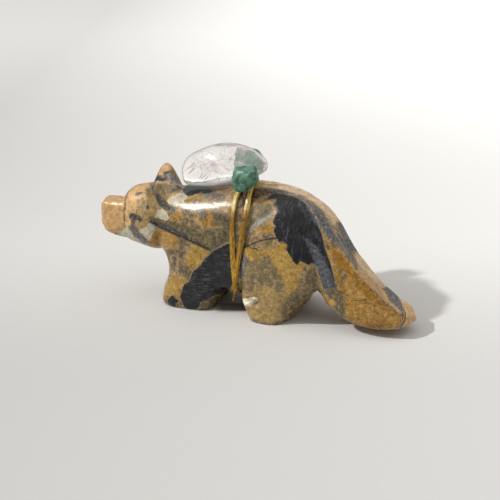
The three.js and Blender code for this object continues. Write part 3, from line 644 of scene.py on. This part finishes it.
def stone_material(sizes):
    """Mottled polished stone, whose patches and lines come from the mesh's attributes."""
    sheet = Sheet("Carved stone")
    place = sheet.place()
    broad = sheet.noise(place, 0.24, 5.0, 0.62, 0.6)
    ragged = sheet.noise(place, 0.75, 6.0, 0.68)
    fine = sheet.noise(place, 2.4, 4.0, 0.75)
    specks = sheet.noise(place, 1.5, 4.0, 0.72)
    warp = (ragged - 0.5) * 2.0 + (fine - 0.5) * 0.9 + (broad - 0.5) * 0.8
    tone = broad + (ragged - 0.5) * 0.6 + (fine - 0.5) * 0.5
    colour = sheet.mix(sheet.step(tone, 0.34, 0.64), (97, 87, 70), (160, 131, 90))
    for kind, first, second, third, raggedness, softness, grain in STONES:
        if kind == "black":
            edge = sheet.attribute(kind) + warp * 0.96
            rim = sheet.step(edge, -0.55, -0.15) * sheet.step(ragged, 0.46, 0.60)
            colour = sheet.mix(rim * 0.38, colour, (172, 158, 132))
        mottle = sheet.noise(sheet.place(), grain * 2, 5.0, 0.75) + (specks - 0.5) * 0.4
        own = sheet.mix(sheet.step(mottle, 0.36, 0.56), second, first)
        own = sheet.mix(sheet.step(mottle, 0.55, 0.72) * 0.85, own, third)
        inside = sheet.attribute(kind) + warp * (raggedness * 0.6)
        colour = sheet.mix(sheet.step(inside, -softness, softness), colour, own)
    black = sheet.step(sheet.attribute("black"), -0.2, 0.3)
    dots = sheet.step(specks + (fine - 0.5) * 0.8, 0.57, 0.70)
    colour = sheet.mix(dots * (0.5 - black * 0.5), colour, (64, 48, 30))
    light_dots = sheet.step(specks + (ragged - 0.5) * 0.5, 0.52, 0.66)
    colour = sheet.mix(light_dots * (0.22 - black * 0.22), colour, (214, 184, 128))
    threads = sheet.noise(place, 0.5, 5.0, 0.62, 1.0) - 0.5
    thin = sheet.step(abs(threads), 0.010, 0.0)
    colour = sheet.mix(thin * (0.4 - black * 0.4), colour, (74, 62, 46))
    hues = sheet.noise(place, 1.2, 5.0, 0.72)
    hues = sheet.mix(sheet.step(hues, 0.34, 0.66), (0.92, 0.99, 1.10, 1.0), (1.09, 1.0, 0.86, 1.0))
    colour = sheet.mix(1.0 - black, colour, hues, "MULTIPLY")
    depths = (ragged * 1.5 + fine * 0.55 + broad * 0.9 - 0.45) * sizes.stone_gain
    colour = sheet.mix(1.0, colour, depths, "MULTIPLY")
    cracks = sheet.attribute("cracks")
    colour = sheet.mix(sheet.step(cracks + (fine - 0.5) * 0.4, 0.3, 0.62) * 0.8, colour, (34, 29, 24))
    level = sheet.noise(sheet.place((500, 300, 2400), (0.1, 0.42, 0.15)), 0.9, 3.0, 0.65)
    upright = sheet.noise(sheet.place((2200, 300, 420), (0.0, 0.30, 0.0)), 0.9, 3.0, 0.65)
    across = sheet.node("ShaderNodeSeparateXYZ", {}, {0: place})
    behind = sheet.step(across, 3, 7)
    strokes = level * (1.0 - behind) + upright * behind
    # Lighter blue-grey streaks on the black: scratches in the stone, strengthened in patches by a painted sheen
    painted_sheen = sheet.noise(sheet.place((300, 300, 150), (0, 0.35, 0)), 0.6, 3.0, 0.6)
    stroked = sheet.step(strokes, 0.48, 0.66) * (sheet.step(painted_sheen, 0.42, 0.60) * 0.75 + 0.2) * black
    colour = sheet.mix(stroked * 0.52, colour, (104, 106, 114))
    rough = sheet.attribute("rough")
    normal = sheet.bump(fine, 0.08, 0.00004)
    normal = sheet.bump(specks, rough * 0.8 + 0.05, 0.0002, normal)
    roughness = 0.15 + fine * 0.2 + dots * 0.2 + rough * 0.7 + sheet.attribute("dull") * 0.6
    return sheet.finish(sheet.principled(
        Base_Color=colour, Roughness=roughness, Specular_IOR_Level=0.38, Normal=normal))


def quartz_material():
    """Clear stone with a frosted rim, which dims the light that passes through, and painted reflection on its
    underside.
    """
    sheet = Sheet("Clear quartz")
    wave = sheet.noise(sheet.place(), 0.3, 3.0, 0.5)
    normal = sheet.bump(wave, 0.25, 0.0004)
    glass = sheet.principled(
        Base_Color=(0.985, 0.972, 0.966, 1.0), Roughness=0.02, IOR=1.22, Transmission_Weight=1.0,
        Coat_Weight=0.05, Coat_Roughness=0.05, Coat_IOR=1.5, Normal=normal)
    skin = sheet.principled(Base_Color=shade(152, 143, 130), Roughness=0.3)
    milk = sheet.principled(Base_Color=shade(252, 248, 246), Roughness=0.3)
    grazing = sheet.node("ShaderNodeLayerWeight", {}, {"Blend": 0.28}, output=1)
    slanting = sheet.step(sheet.node("ShaderNodeLayerWeight", {}, {"Blend": 0.5}, output=1), 0.12, 0.42)
    # Seen slantwise, the underside turns milky: painted reflection of the light turned back inside the stone
    milky = sheet.node("ShaderNodeMixShader", {}, {
        0: sheet.attribute("base") * slanting * 0.75 + 0.12, 1: glass, 2: milk})
    seen = sheet.node("ShaderNodeMixShader", {}, {0: sheet.step(grazing, 0.25, 0.8) * 0.8, 1: milky, 2: skin})
    ray = sheet.node("ShaderNodeLightPath", output=1)
    dim = sheet.node("ShaderNodeBsdfTransparent", {}, {"Color": (0.34, 0.33, 0.32, 1.0)})
    return sheet.finish(sheet.node("ShaderNodeMixShader", {}, {0: ray, 1: seen, 2: dim}))


def veil_material():
    """Milky veils and faint healed cracks inside the quartz."""
    sheet = Sheet("Quartz veils")
    place = sheet.place()
    clouds = sheet.noise(place, 0.35, 5.0, 0.65, 1.2)
    threads = sheet.noise(sheet.place((1000, 600, 2200)), 0.6, 4.0, 0.7, 1.5)
    milky = sheet.step(clouds, 0.46, 0.66) * 0.42
    thin = sheet.step(abs(threads - 0.5), 0.025, 0.0) * 0.35
    colour = sheet.mix(sheet.step(thin, 0.05, 0.3), (232, 222, 220), (142, 128, 118))
    return sheet.finish(sheet.principled(
        Base_Color=colour, Roughness=0.6, Alpha=milky + thin, Specular_IOR_Level=0.2))


def fleck_material(name, first, second):
    """A sliver inside the quartz, in two shades along it."""
    sheet = Sheet(name)
    along = sheet.noise(sheet.place(), 2.0, 2.0, 0.5)
    return sheet.finish(sheet.principled(
        Base_Color=sheet.mix(sheet.step(along, 0.4, 0.6), first, second), Roughness=0.4 + along * 0.1))


def green_material(name, dark, mid, pale):
    """Green copper stone with paler veins and brown stains."""
    sheet = Sheet(name)
    place = sheet.place()
    broad = sheet.noise(place, 0.45, 4.0, 0.6, 0.8)
    fine = sheet.noise(place, 3.0, 4.0, 0.7)
    tone = broad + (fine - 0.5) * 0.5
    colour = sheet.mix(sheet.step(tone, 0.38, 0.58), dark, mid)
    colour = sheet.mix(sheet.step(tone, 0.58, 0.72), colour, pale)
    # The green stone's own brown stains, which it has under any light
    painted_shadow_and_stain = sheet.noise(place, 0.8, 3.0, 0.6)
    colour = sheet.mix(sheet.step(painted_shadow_and_stain, 0.64, 0.74) * 0.6, colour, (78, 62, 52))
    return sheet.finish(sheet.principled(
        Base_Color=colour, Roughness=0.44 + fine * 0.15, Normal=sheet.bump(fine, 0.35, 0.0001)))


def sinew_material(sizes):
    """Split sinew: long golden fibres, darker between them, with a painted highlight on the near tops and painted
    shade below it.
    """
    sheet = Sheet("Sinew")
    along = sheet.place((4.5, 0.3, 1), kind="UV")
    threads = sheet.noise(along, 2.2, 4.0, 0.65)
    patches = sheet.noise(sheet.place(), 0.22, 3.0, 0.5)
    colour = sheet.mix(sheet.step(threads, 0.34, 0.64), (96, 64, 2), tuple(sizes.gold))
    colour = sheet.mix(sheet.step(patches, 0.42, 0.66) * 0.5, colour, (146, 102, 14))
    # Painted shade in the amber band, the painted highlight on the pale tops, and darker towards the knot
    colour = sheet.mix(sheet.attribute("amber_painted_shade") * 0.7, colour, (124, 84, 2))
    pale = sheet.attribute("pale") * sheet.step(threads, 0.3, 0.55)
    colour = sheet.mix(pale * 0.8, colour, (222, 194, 108))
    dark = sheet.attribute("dark")
    colour = sheet.mix(dark * 0.75, colour, (84, 54, 10))
    return sheet.finish(sheet.principled(
        Base_Color=colour, Roughness=0.42, Normal=sheet.bump(threads, 0.55, 0.00012)))


def floor_material(sizes):
    """Pale paper that brightens away to the right by painted light, with a painted shadow under the belly."""
    sheet = Sheet("Pale floor")
    place = sheet.place(turn=(0, 0, math.radians(-20)))
    aside, deep = (sheet.node("ShaderNodeSeparateXYZ", {}, {0: place}, output=k) for k in range(2))
    # Painted light: the floor is darker by the camera, lighter behind and to the right, and its emission makes the
    # far floor glow
    level = sheet.step(deep, -60, 70) * sizes.floor_rise + sizes.floor_near
    slant = aside.math("MAXIMUM", aside.math("MINIMUM", aside, 250), -130) * 0.0022 + 1.0
    level = level * slant
    colour = sheet.mix(1.0, (1.0, 0.985, 0.95, 1.0), level, "MULTIPLY")
    # Painted shadow in warm brown on the floor under the belly
    painted_belly_shadow = sheet.step(abs(aside + 6.5), 5.5, 2.5) * sheet.step(abs(deep + 2.5), 4.4, 2.4)
    colour = sheet.mix(painted_belly_shadow * 0.7, colour, (88, 70, 46))
    glow = sheet.mix(1.0, (1.0, 1.0, 0.99, 1.0), (
        sheet.step(deep, 40, 620) * slant + sheet.step(deep, -110, -420)
        + sheet.step(aside * aside + deep * deep, 2e6, 3.6e7) * 0.25) * sizes.floor_glow, "MULTIPLY")
    return sheet.finish(sheet.principled(
        Base_Color=colour, Roughness=0.85, Specular_IOR_Level=0.2, Emission_Color=glow, Emission_Strength=1.0))


class StoneSizes(bpy.types.PropertyGroup):
    """What a user would change of the carved animal."""
    voxel: bpy.props.FloatProperty(
        name="Voxel", description="Fineness of the stone's surface", default=0.3 * MM, unit="LENGTH")
    stone_gain: bpy.props.FloatProperty(
        name="Stone lightness", description="How light the stone's colours are", default=1.0, subtype="FACTOR")


class SinewSizes(bpy.types.PropertyGroup):
    """What a user would change of the sinew."""
    width: bpy.props.FloatProperty(name="Width", description="Width of a strand", default=1.4 * MM, unit="LENGTH")
    thickness: bpy.props.FloatProperty(
        name="Thickness", description="Thickness of a strand", default=0.6 * MM, unit="LENGTH")
    gold: bpy.props.FloatVectorProperty(
        name="Gold", description="Colour of the lighter fibres", default=shade(208, 160, 22), size=4,
        subtype="COLOR")


class NuggetSizes(bpy.types.PropertyGroup):
    """What a user would change of the green nuggets."""
    near: bpy.props.FloatVectorProperty(
        name="Near green", description="Main colour of the near nugget", default=shade(86, 134, 110), size=4,
        subtype="COLOR")
    far: bpy.props.FloatVectorProperty(
        name="Far green", description="Main colour of the far nugget", default=shade(86, 156, 118), size=4,
        subtype="COLOR")


class StageSizes(bpy.types.PropertyGroup):
    """What a user would change of the floor, the lights and the camera."""
    floor_near: bpy.props.FloatProperty(
        name="Floor lightness", description="Lightness of the floor by the camera", default=0.62, subtype="FACTOR")
    floor_rise: bpy.props.FloatProperty(
        name="Floor rise", description="How much lighter the floor is behind", default=0.17, subtype="FACTOR")
    floor_glow: bpy.props.FloatProperty(
        name="Floor glow", description="How much the far floor glows", default=0.40, subtype="FACTOR")
    lamp_strength: bpy.props.FloatProperty(
        name="Lamp strength", description="Strength of the key light", default=26.0, min=0)
    panel_strength: bpy.props.FloatProperty(
        name="Panel strength", description="Strength of the panel that the gloss reflects", default=1.5,
        subtype="POWER")
    sky_strength: bpy.props.FloatProperty(
        name="Sky strength", description="Strength of the light from all round", default=0.58, min=0)


class ANIMAL_OT_stone(bpy.types.Operator):
    """Makes the carved animal of mottled stone"""
    bl_idname = "animal.stone"
    bl_label = "Carved animal"

    def execute(self, context):
        sizes = context.scene.stone_sizes
        piece = copy_of("carved_animal", "carved_animal_stone")
        remesh(piece, sizes.voxel)
        self.soften(piece, lambda near, height: np.clip((height - 0.4) / 1.6, 0.12, 1), 9)
        self.soften(piece, lambda near, height: self.beside("shoulder", near, 5.5), 70)
        self.soften(piece, lambda near, height: self.beside("haunch front", near, 4.5), 60)
        self.spread_feet(piece)
        self.carve(piece)
        places = vertices_of(piece)
        near = self.grain_places(piece, places)
        keep(piece, "cracks", self.crack_depth(near))
        keep(piece, "rough", np.clip(deepest(near, ROUGH) + 0.5, 0, 1))
        dull = [strength * np.clip(signed_depth(near, row) / 1.5 + 0.5, 0, 1) for strength, row in DULL]
        keep(piece, "dull", np.max(dull, axis=0))
        for kind, rows in PATCHES.items():
            keep(piece, kind, deepest(near, rows))
        finish_piece(piece, stone_material(sizes), "carved_stone", "carved_animal")
        return {"FINISHED"}

    @staticmethod
    def crack_depth(near):
        """1 on the thin dark lines and 0 a little way off."""
        depths = [1 - line_distance(near, name) / width for name, width in CRACKS.items()]
        return np.clip(np.max(depths, axis=0), 0, 1)

    @staticmethod
    def beside(line, near, width):
        """1 beside one of the lines, fading to 0 at a width from it."""
        return np.clip((width - line_distance(near, line)) / 2.5, 0, 1)

    @staticmethod
    def soften(piece, share, times):
        """Smooths the surface by a share that depends on the place."""
        places = vertices_of(piece)
        group = piece.vertex_groups.new(name="soft")
        for index, weight in enumerate(share(along_grain(places), places[:, 2])):
            if weight > 0:
                group.add([index], float(weight), "REPLACE")
        smooth(piece, times, "soft")
        piece.vertex_groups.clear()

    @staticmethod
    def spread_feet(piece):
        """Sharpens the edges of the near soles by drawing the stone just above them outwards."""
        places = vertices_of(piece)
        for (x, y), height, forwards, backwards in SOLES:
            away = places[:, :2] - (x, y)
            length = np.linalg.norm(away, axis=1)
            low = np.clip(1 - places[:, 2] / height, 0, 1) ** 1.5
            share = low * np.clip((length - 2.0) / 2.5, 0, 1) * (length < 9.5)
            reach = np.where(away[:, 0] > 0, backwards, forwards)
            places[:, :2] += away / np.maximum(length, 0.1)[:, None] * (share * reach)[:, None]
        set_vertices(piece, places)

    @staticmethod
    def carve(piece):
        """Cuts the creases, raises the ridges and gives the surface its slight unevenness."""
        places, normals = vertices_of(piece), read(piece, "normal")
        near = along_grain(places)
        facing = np.clip(normals @ unit(np.array([GRAIN[0], -1.0, GRAIN[1]])) * 3 + 0.2, 0, 1)
        dent = sum(depth * np.exp(-(line_distance(near, name) / width) ** 2)
                   for name, (depth, width) in CARVED.items())
        uneven = swell(places, 0.16) + 0.4 * swell(places, 0.5)
        set_vertices(piece, places - normals * (dent * facing - 0.09 * uneven)[:, None])

    @staticmethod
    def grain_places(piece, places):
        """Outline coordinates along the grain, which turns deeper in the stone."""
        tree = BVHTree.FromObject(piece, bpy.context.evaluated_depsgraph_get())
        way = Vector((-GRAIN[0], 1.0, -GRAIN[1])).normalized()
        deep = np.empty(len(places))
        for number, place in enumerate(places * MM):
            hit = tree.ray_cast(Vector(place) - way * RAY_START, way)[3]
            deep[number] = 0 if hit is None else max(0.0, (RAY_START - hit) / MM)
        return along_grain(places) + np.outer(np.maximum(deep - BEND_DEPTH, 0), BEND)


class ANIMAL_OT_quartz(bpy.types.Operator):
    """Makes the clear pebble and what shows inside it"""
    bl_idname = "animal.quartz"
    bl_label = "Clear pebble"

    def execute(self, context):
        piece = copy_of("quartz_pebble", "quartz_pebble_clear")
        remesh(piece, PEBBLE_VOXEL)
        smooth(piece, 14)
        places, normals = vertices_of(piece), read(piece, "normal")
        set_vertices(piece, places + normals * (0.14 * swell(places, 0.22, (7, 3, 1)))[:, None])
        # Where the pebble faces down, which gets the painted reflection from inside
        keep(piece, "base", np.clip(-normals[:, 2] * 3 - 1.2, 0, 1))
        finish_piece(piece, quartz_material(), "clear_quartz", "quartz_pebble")
        low, high = places.min(axis=0), places.max(axis=0)
        self.middle, self.half = (low + high) / 2, (high - low) / 2
        self.veils()
        golden = fleck_material("Golden needles", (214, 160, 84), (180, 120, 50))
        self.slivers("quartz_needles", NEEDLES, NEEDLE_THICKNESS, golden)
        brown = fleck_material("Dark flecks", (120, 100, 84), (92, 78, 68))
        self.slivers("quartz_flecks", FLECKS, FLECK_THICKNESS, brown)
        return {"FINISHED"}

    def inside(self, share):
        """A place in the pebble from its share of the half sizes."""
        return self.middle + np.asarray(share, float) * self.half

    def veils(self):
        """Thin wavy sheets across the pebble."""
        for number, (centre, tilt, size) in enumerate(VEILS):
            bpy.ops.object.select_all(action="DESELECT")
            bpy.ops.mesh.primitive_grid_add(x_subdivisions=36, y_subdivisions=24, size=2, rotation=tilt)
            piece = bpy.context.object
            piece.name = f"quartz_veil_{number + 1}"
            bpy.ops.object.transform_apply(rotation=True)
            places = vertices_of(piece) * MM
            length = np.linalg.norm(places, axis=1)[:, None]
            places = places * np.minimum(1, 1 / np.maximum(length, 1e-6) ** 0.5)
            waves = swell(places, 1.7, (number, 0, 0))
            places = places * size + np.outer(waves, (0.03, 0.05, 0.10))
            set_vertices(piece, self.inside(centre + places))
            apply(piece, "SOLIDIFY", thickness=VEIL_THICKNESS * MM, offset=0)
            piece.data.shade_smooth()
            finish_piece(piece, veil_material(), "clear_quartz")

    def slivers(self, name, lines, thickness, material):
        """Thin straight strands in the pebble that taper at both ends."""
        taper = thickness * np.array([0.3, 0.8, 1, 1, 1, 1, 0.8, 0.3])
        parts = [tube(np.linspace(self.inside(a), self.inside(b), len(taper)), taper, 6) for a, b in lines]
        finish_piece(mesh_piece(name, *joined(parts)), material, "clear_quartz")


class ANIMAL_OT_nuggets(bpy.types.Operator):
    """Makes the two green nuggets"""
    bl_idname = "animal.nuggets"
    bl_label = "Green nuggets"

    def execute(self, context):
        sizes = context.scene.nugget_sizes
        colours = {
            "near": ((42, 76, 58), tuple(sizes.near), (120, 166, 146)),
            "far": ((38, 92, 64), tuple(sizes.far), (158, 206, 176)),
        }
        for side, shades in colours.items():
            piece = copy_of(f"{side}_green_nugget", f"{side}_green_nugget_stone")
            for way, share in FACETS[side]:
                self.facet(piece, unit(np.array(way)), share)
            remesh(piece, NUGGET_VOXEL)
            smooth(piece, 2)
            material = green_material(f"Green stone {side}", *shades)
            finish_piece(piece, material, "green_stone", f"{side}_green_nugget")
        return {"FINISHED"}

    @staticmethod
    def facet(piece, way, share):
        """Grinds a flat on the stone, at a share of its reach from its middle."""
        places = vertices_of(piece) * MM
        middle = (places.min(axis=0) + places.max(axis=0)) / 2
        reach = float(((places - middle) @ way).max())
        select_only(piece)
        bpy.ops.object.mode_set(mode="EDIT")
        bpy.ops.mesh.select_all(action="SELECT")
        bpy.ops.mesh.bisect(plane_co=middle + way * reach * share, plane_no=way, use_fill=True, clear_outer=True)
        bpy.ops.object.mode_set(mode="OBJECT")


class ANIMAL_OT_sinew(bpy.types.Operator):
    """Draws the two turns of sinew tight round the body, with their knot and loose end"""
    bl_idname = "animal.sinew"
    bl_label = "Sinew"

    def execute(self, context):
        sizes = context.scene.sinew_sizes
        body = vertices_of(bpy.data.objects["carved_animal_stone"])
        parts = []
        for order, (knot, shoulder, beyond) in enumerate(TURNS):
            middles, outwards, normal = self.turn(body, *np.array((knot, shoulder, beyond)), sizes, order)
            if order == 0:
                low = int(np.argmin(np.linalg.norm(middles - np.array(knot), axis=1)))
                knot_place, knot_out = middles[low], outwards[low]
            parts.append(self.strand(middles, outwards, normal, sizes, order))
        parts.append(self.knot(knot_place + knot_out * 0.3, knot_out))
        hang = knot_place + knot_out * 0.5
        end = curve_through([hang + (0.05, 0, 0.4), hang + (-0.15, -0.3, -1.2), hang + (-0.45, -0.25, -2.3),
                             hang + (-0.75, -0.1, -3.2)], END_POINTS)
        parts.append(tube(end, np.linspace(0.42, 0.22, END_POINTS), 10, 3.3))
        strands = np.concatenate([part[0] for part in parts[:2]])
        for near, bend, tip, thickness in FRAYS:
            start = strands[np.argmin(np.linalg.norm(strands - np.array(near), axis=1))]
            path = curve_through([start, start + np.array(bend), start + np.array(tip)], FRAY_POINTS)
            parts.append(tube(path, np.linspace(thickness, 0.04, FRAY_POINTS), 6, 5.1))
        vertices, faces, uvs = joined(parts)
        piece = mesh_piece("sinew_tie_strands", vertices, faces, uvs)
        height, near = vertices[:, 2], vertices[:, 1] < 0
        # On the near strands the pale tops are a painted highlight and the amber band below them is painted shade;
        # all strands darken towards the knot at the bottom
        keep(piece, "pale", np.clip((height - 28.2) / 2.0, 0, 1) * near)
        keep(piece, "amber_painted_shade", np.clip(1.6 - np.abs(height - 25.5) / 2.6, 0, 1) * near)
        keep(piece, "dark", np.clip((9.0 - height) / 3.0, 0, 1))
        finish_piece(piece, sinew_material(sizes), "sinew", "sinew_tie")
        return {"FINISHED"}

    @staticmethod
    def turn(body, knot, shoulder, beyond, sizes, order):
        """The middles of a strand drawn tight round the body, the ways it faces, and the way across it."""
        width, thickness = sizes.width / MM, sizes.thickness / MM
        sideways = unit(beyond - shoulder)
        normal = unit(np.cross(sideways, shoulder - knot))
        upward = np.cross(normal, sideways)
        slab = body[np.abs((body - knot) @ normal) < width / 2]
        flat = np.stack([slab @ sideways, slab @ upward], axis=1)
        angles = np.linspace(0, 2 * np.pi, TURN_WAYS, endpoint=False)
        ways = np.stack([np.cos(angles), np.sin(angles)], axis=1)
        hull = flat[np.argmax(flat @ ways.T, axis=0)] + ways * (0.06 + thickness * (0.5 + 0.5 * order))
        closed = np.vstack([hull, hull[:1]])
        lengths = np.concatenate([[0], np.cumsum(np.linalg.norm(np.diff(closed, axis=0), axis=1))])
        wanted = np.linspace(0, lengths[-1], TURN_RINGS, endpoint=False)
        even = np.stack([np.interp(wanted, lengths, closed[:, k]) for k in range(2)], axis=1)
        for _ in range(3):
            even = (np.roll(even, 1, 0) + even * 2 + np.roll(even, -1, 0)) / 4
        along = np.roll(even, -1, 0) - np.roll(even, 1, 0)
        along /= np.linalg.norm(along, axis=1)[:, None]
        out = np.stack([along[:, 1], -along[:, 0]], axis=1)
        middles = knot @ normal * normal + even[:, :1] * sideways + even[:, 1:] * upward
        return middles, out[:, :1] * sideways + out[:, 1:] * upward, normal

    @staticmethod
    def strand(middles, outwards, normal, sizes, order):
        """One turn: a flattened bundle of fibres that twists a little and varies in width."""
        at = np.arange(len(middles))[:, None] / len(middles) * 2 * np.pi
        spins = np.linspace(0, 2 * np.pi, STRAND_SIDES, endpoint=False)
        fibres = 1 + 0.09 * np.sin(5 * spins + 2 * at + order) + 0.06 * np.sin(9 * spins - 5 * at)
        widths = (0.5 + 0.03 * np.sin(5 * at + 2 * order) + 0.025 * np.sin(13 * at)) * sizes.width / MM * 0.94
        depths = (0.5 + 0.04 * np.sin(7 * at + order)) * sizes.thickness / MM
        twist = 0.16 * np.sin(4 * at + order * 2) + 0.1 * np.sin(9 * at)
        across = normal * np.cos(twist) + outwards * np.sin(twist)
        lifted = outwards * np.cos(twist) - normal * np.sin(twist)
        return swept(middles, lifted, across, widths * fibres, depths * fibres, STRAND_SIDES, True, order * 1.7)

    @staticmethod
    def knot(middle, out):
        """Two small wraps of fibre drawn into a lump."""
        angles = np.linspace(0, 4.4 * np.pi, KNOT_POINTS)
        aside = unit(np.cross(out, (0, 0, 1)))
        rise = np.cross(aside, out)
        places = (middle + np.outer(np.cos(angles) * 0.42, aside) + np.outer(np.sin(angles) * 0.34, out)
                  + np.outer(np.linspace(-0.5, 0.5, KNOT_POINTS), rise))
        return tube(places, 0.3 + 0.05 * np.sin(angles * 1.7), 10, 7.7)


class ANIMAL_OT_stage(bpy.types.Operator):
    """Lays the floor and sets the lights and the camera"""
    bl_idname = "animal.stage"
    bl_label = "Stage"

    def execute(self, context):
        sizes = context.scene.stage_sizes
        bpy.ops.object.select_all(action="DESELECT")
        bpy.ops.mesh.primitive_plane_add(size=FLOOR_SIZE)
        floor = context.object
        floor.name = "floor"
        floor.data.materials.append(floor_material(sizes))
        self.room(context.scene, sizes)
        self.lamps(sizes)
        self.camera(context.scene)
        context.scene.view_settings.view_transform = "Standard"
        return {"FINISHED"}

    @staticmethod
    def room(scene, sizes):
        """Pale light from all round, stronger from above, and a plain wall where the camera sees it."""
        scene.world = bpy.data.worlds.new("Soft room")
        sheet = Sheet("Soft room", scene.world)
        height = sheet.node("ShaderNodeSeparateXYZ", {}, {0: sheet.node("ShaderNodeTexCoord")}, output=2)
        strength = sheet.node("ShaderNodeMapRange", {}, {
            0: height, 1: -0.05, 2: 0.9, 3: 0.34 * sizes.sky_strength, 4: 1.35 * sizes.sky_strength})
        light = sheet.node("ShaderNodeBackground", {}, {"Color": (1.0, 0.99, 0.975, 1.0), "Strength": strength})
        wall = sheet.node("ShaderNodeBackground", {}, {"Color": (0.86, 0.85, 0.83, 1.0)})
        seen = sheet.node("ShaderNodeLightPath")
        sheet.finish(sheet.node("ShaderNodeMixShader", {}, {0: seen, 1: light, 2: wall}), "ShaderNodeOutputWorld")

    @staticmethod
    def lamps(sizes):
        """The key light, as strong far off as near, and the panel that the gloss reflects."""
        lamp = bpy.data.lights.new("Key", "POINT")
        lamp.energy, lamp.shadow_soft_size = sizes.lamp_strength, LAMP_SOFTNESS
        sheet = Sheet("Key", lamp)
        steady = sheet.node("ShaderNodeLightFalloff", {}, {"Strength": 1.0}, output="Constant")
        sheet.finish(sheet.node("ShaderNodeEmission", {}, {"Strength": steady}), "ShaderNodeOutputLight")
        add("Key", lamp).location = LAMP_PLACE
        panel = bpy.data.lights.new("Soft panel", "AREA")
        panel.shape, panel.size, panel.size_y = "RECTANGLE", *PANEL_SIZE
        panel.energy = sizes.panel_strength
        way = unit(np.array(PANEL_WAY))
        soft = add("Soft panel", panel)
        soft.location = way * PANEL_DISTANCE
        soft.rotation_euler = Vector(way).to_track_quat("Z", "Y").to_euler()
        soft.visible_diffuse = False

    @staticmethod
    def camera(scene):
        """The camera, round to the right of the near side and above it."""
        sine, cosine = math.sin(CAMERA_SLANT), math.cos(CAMERA_SLANT)
        back = Vector((sine * cosine, -cosine * cosine, sine))
        lens = bpy.data.cameras.new("Camera")
        lens.lens, lens.sensor_width = 85, 36
        lens.shift_x, lens.shift_y = -0.02, 0.108
        lens.clip_start, lens.clip_end = 0.01, 30
        scene.camera = add("Camera", lens)
        scene.camera.location = Vector(CAMERA_TARGET) + back * CAMERA_DISTANCE
        scene.camera.rotation_euler = back.to_track_quat("Z", "Y").to_euler()


class ANIMAL_PT_panel(bpy.types.Panel):
    """Lists the steps that dress the animal"""
    bl_idname = "ANIMAL_PT_panel"
    bl_label = "Stone Animal"
    bl_space_type = "VIEW_3D"
    bl_region_type = "UI"
    bl_category = "Stone Animal"

    def draw(self, context):
        for operator in STEPS:
            self.layout.operator(operator.bl_idname)
        for group in GROUPS:
            for name in GROUPS[group].__annotations__:
                self.layout.prop(getattr(context.scene, group), name)


STEPS = (ANIMAL_OT_stage, ANIMAL_OT_stone, ANIMAL_OT_sinew, ANIMAL_OT_quartz, ANIMAL_OT_nuggets)
GROUPS = {
    "stone_sizes": StoneSizes, "sinew_sizes": SinewSizes, "nugget_sizes": NuggetSizes, "stage_sizes": StageSizes,
}


def register():
    for each in (*GROUPS.values(), *STEPS, ANIMAL_PT_panel):
        bpy.utils.register_class(each)
    for name, group in GROUPS.items():
        setattr(bpy.types.Scene, name, bpy.props.PointerProperty(type=group))


def unregister():
    for name in GROUPS:
        delattr(bpy.types.Scene, name)
    for each in reversed((*GROUPS.values(), *STEPS, ANIMAL_PT_panel)):
        bpy.utils.unregister_class(each)


def main():
    register()
    bpy.ops.animal.stage()
    bpy.ops.animal.stone()
    bpy.ops.animal.sinew()
    bpy.ops.animal.quartz()
    bpy.ops.animal.nuggets()


if __name__ == "__main__":
    main()
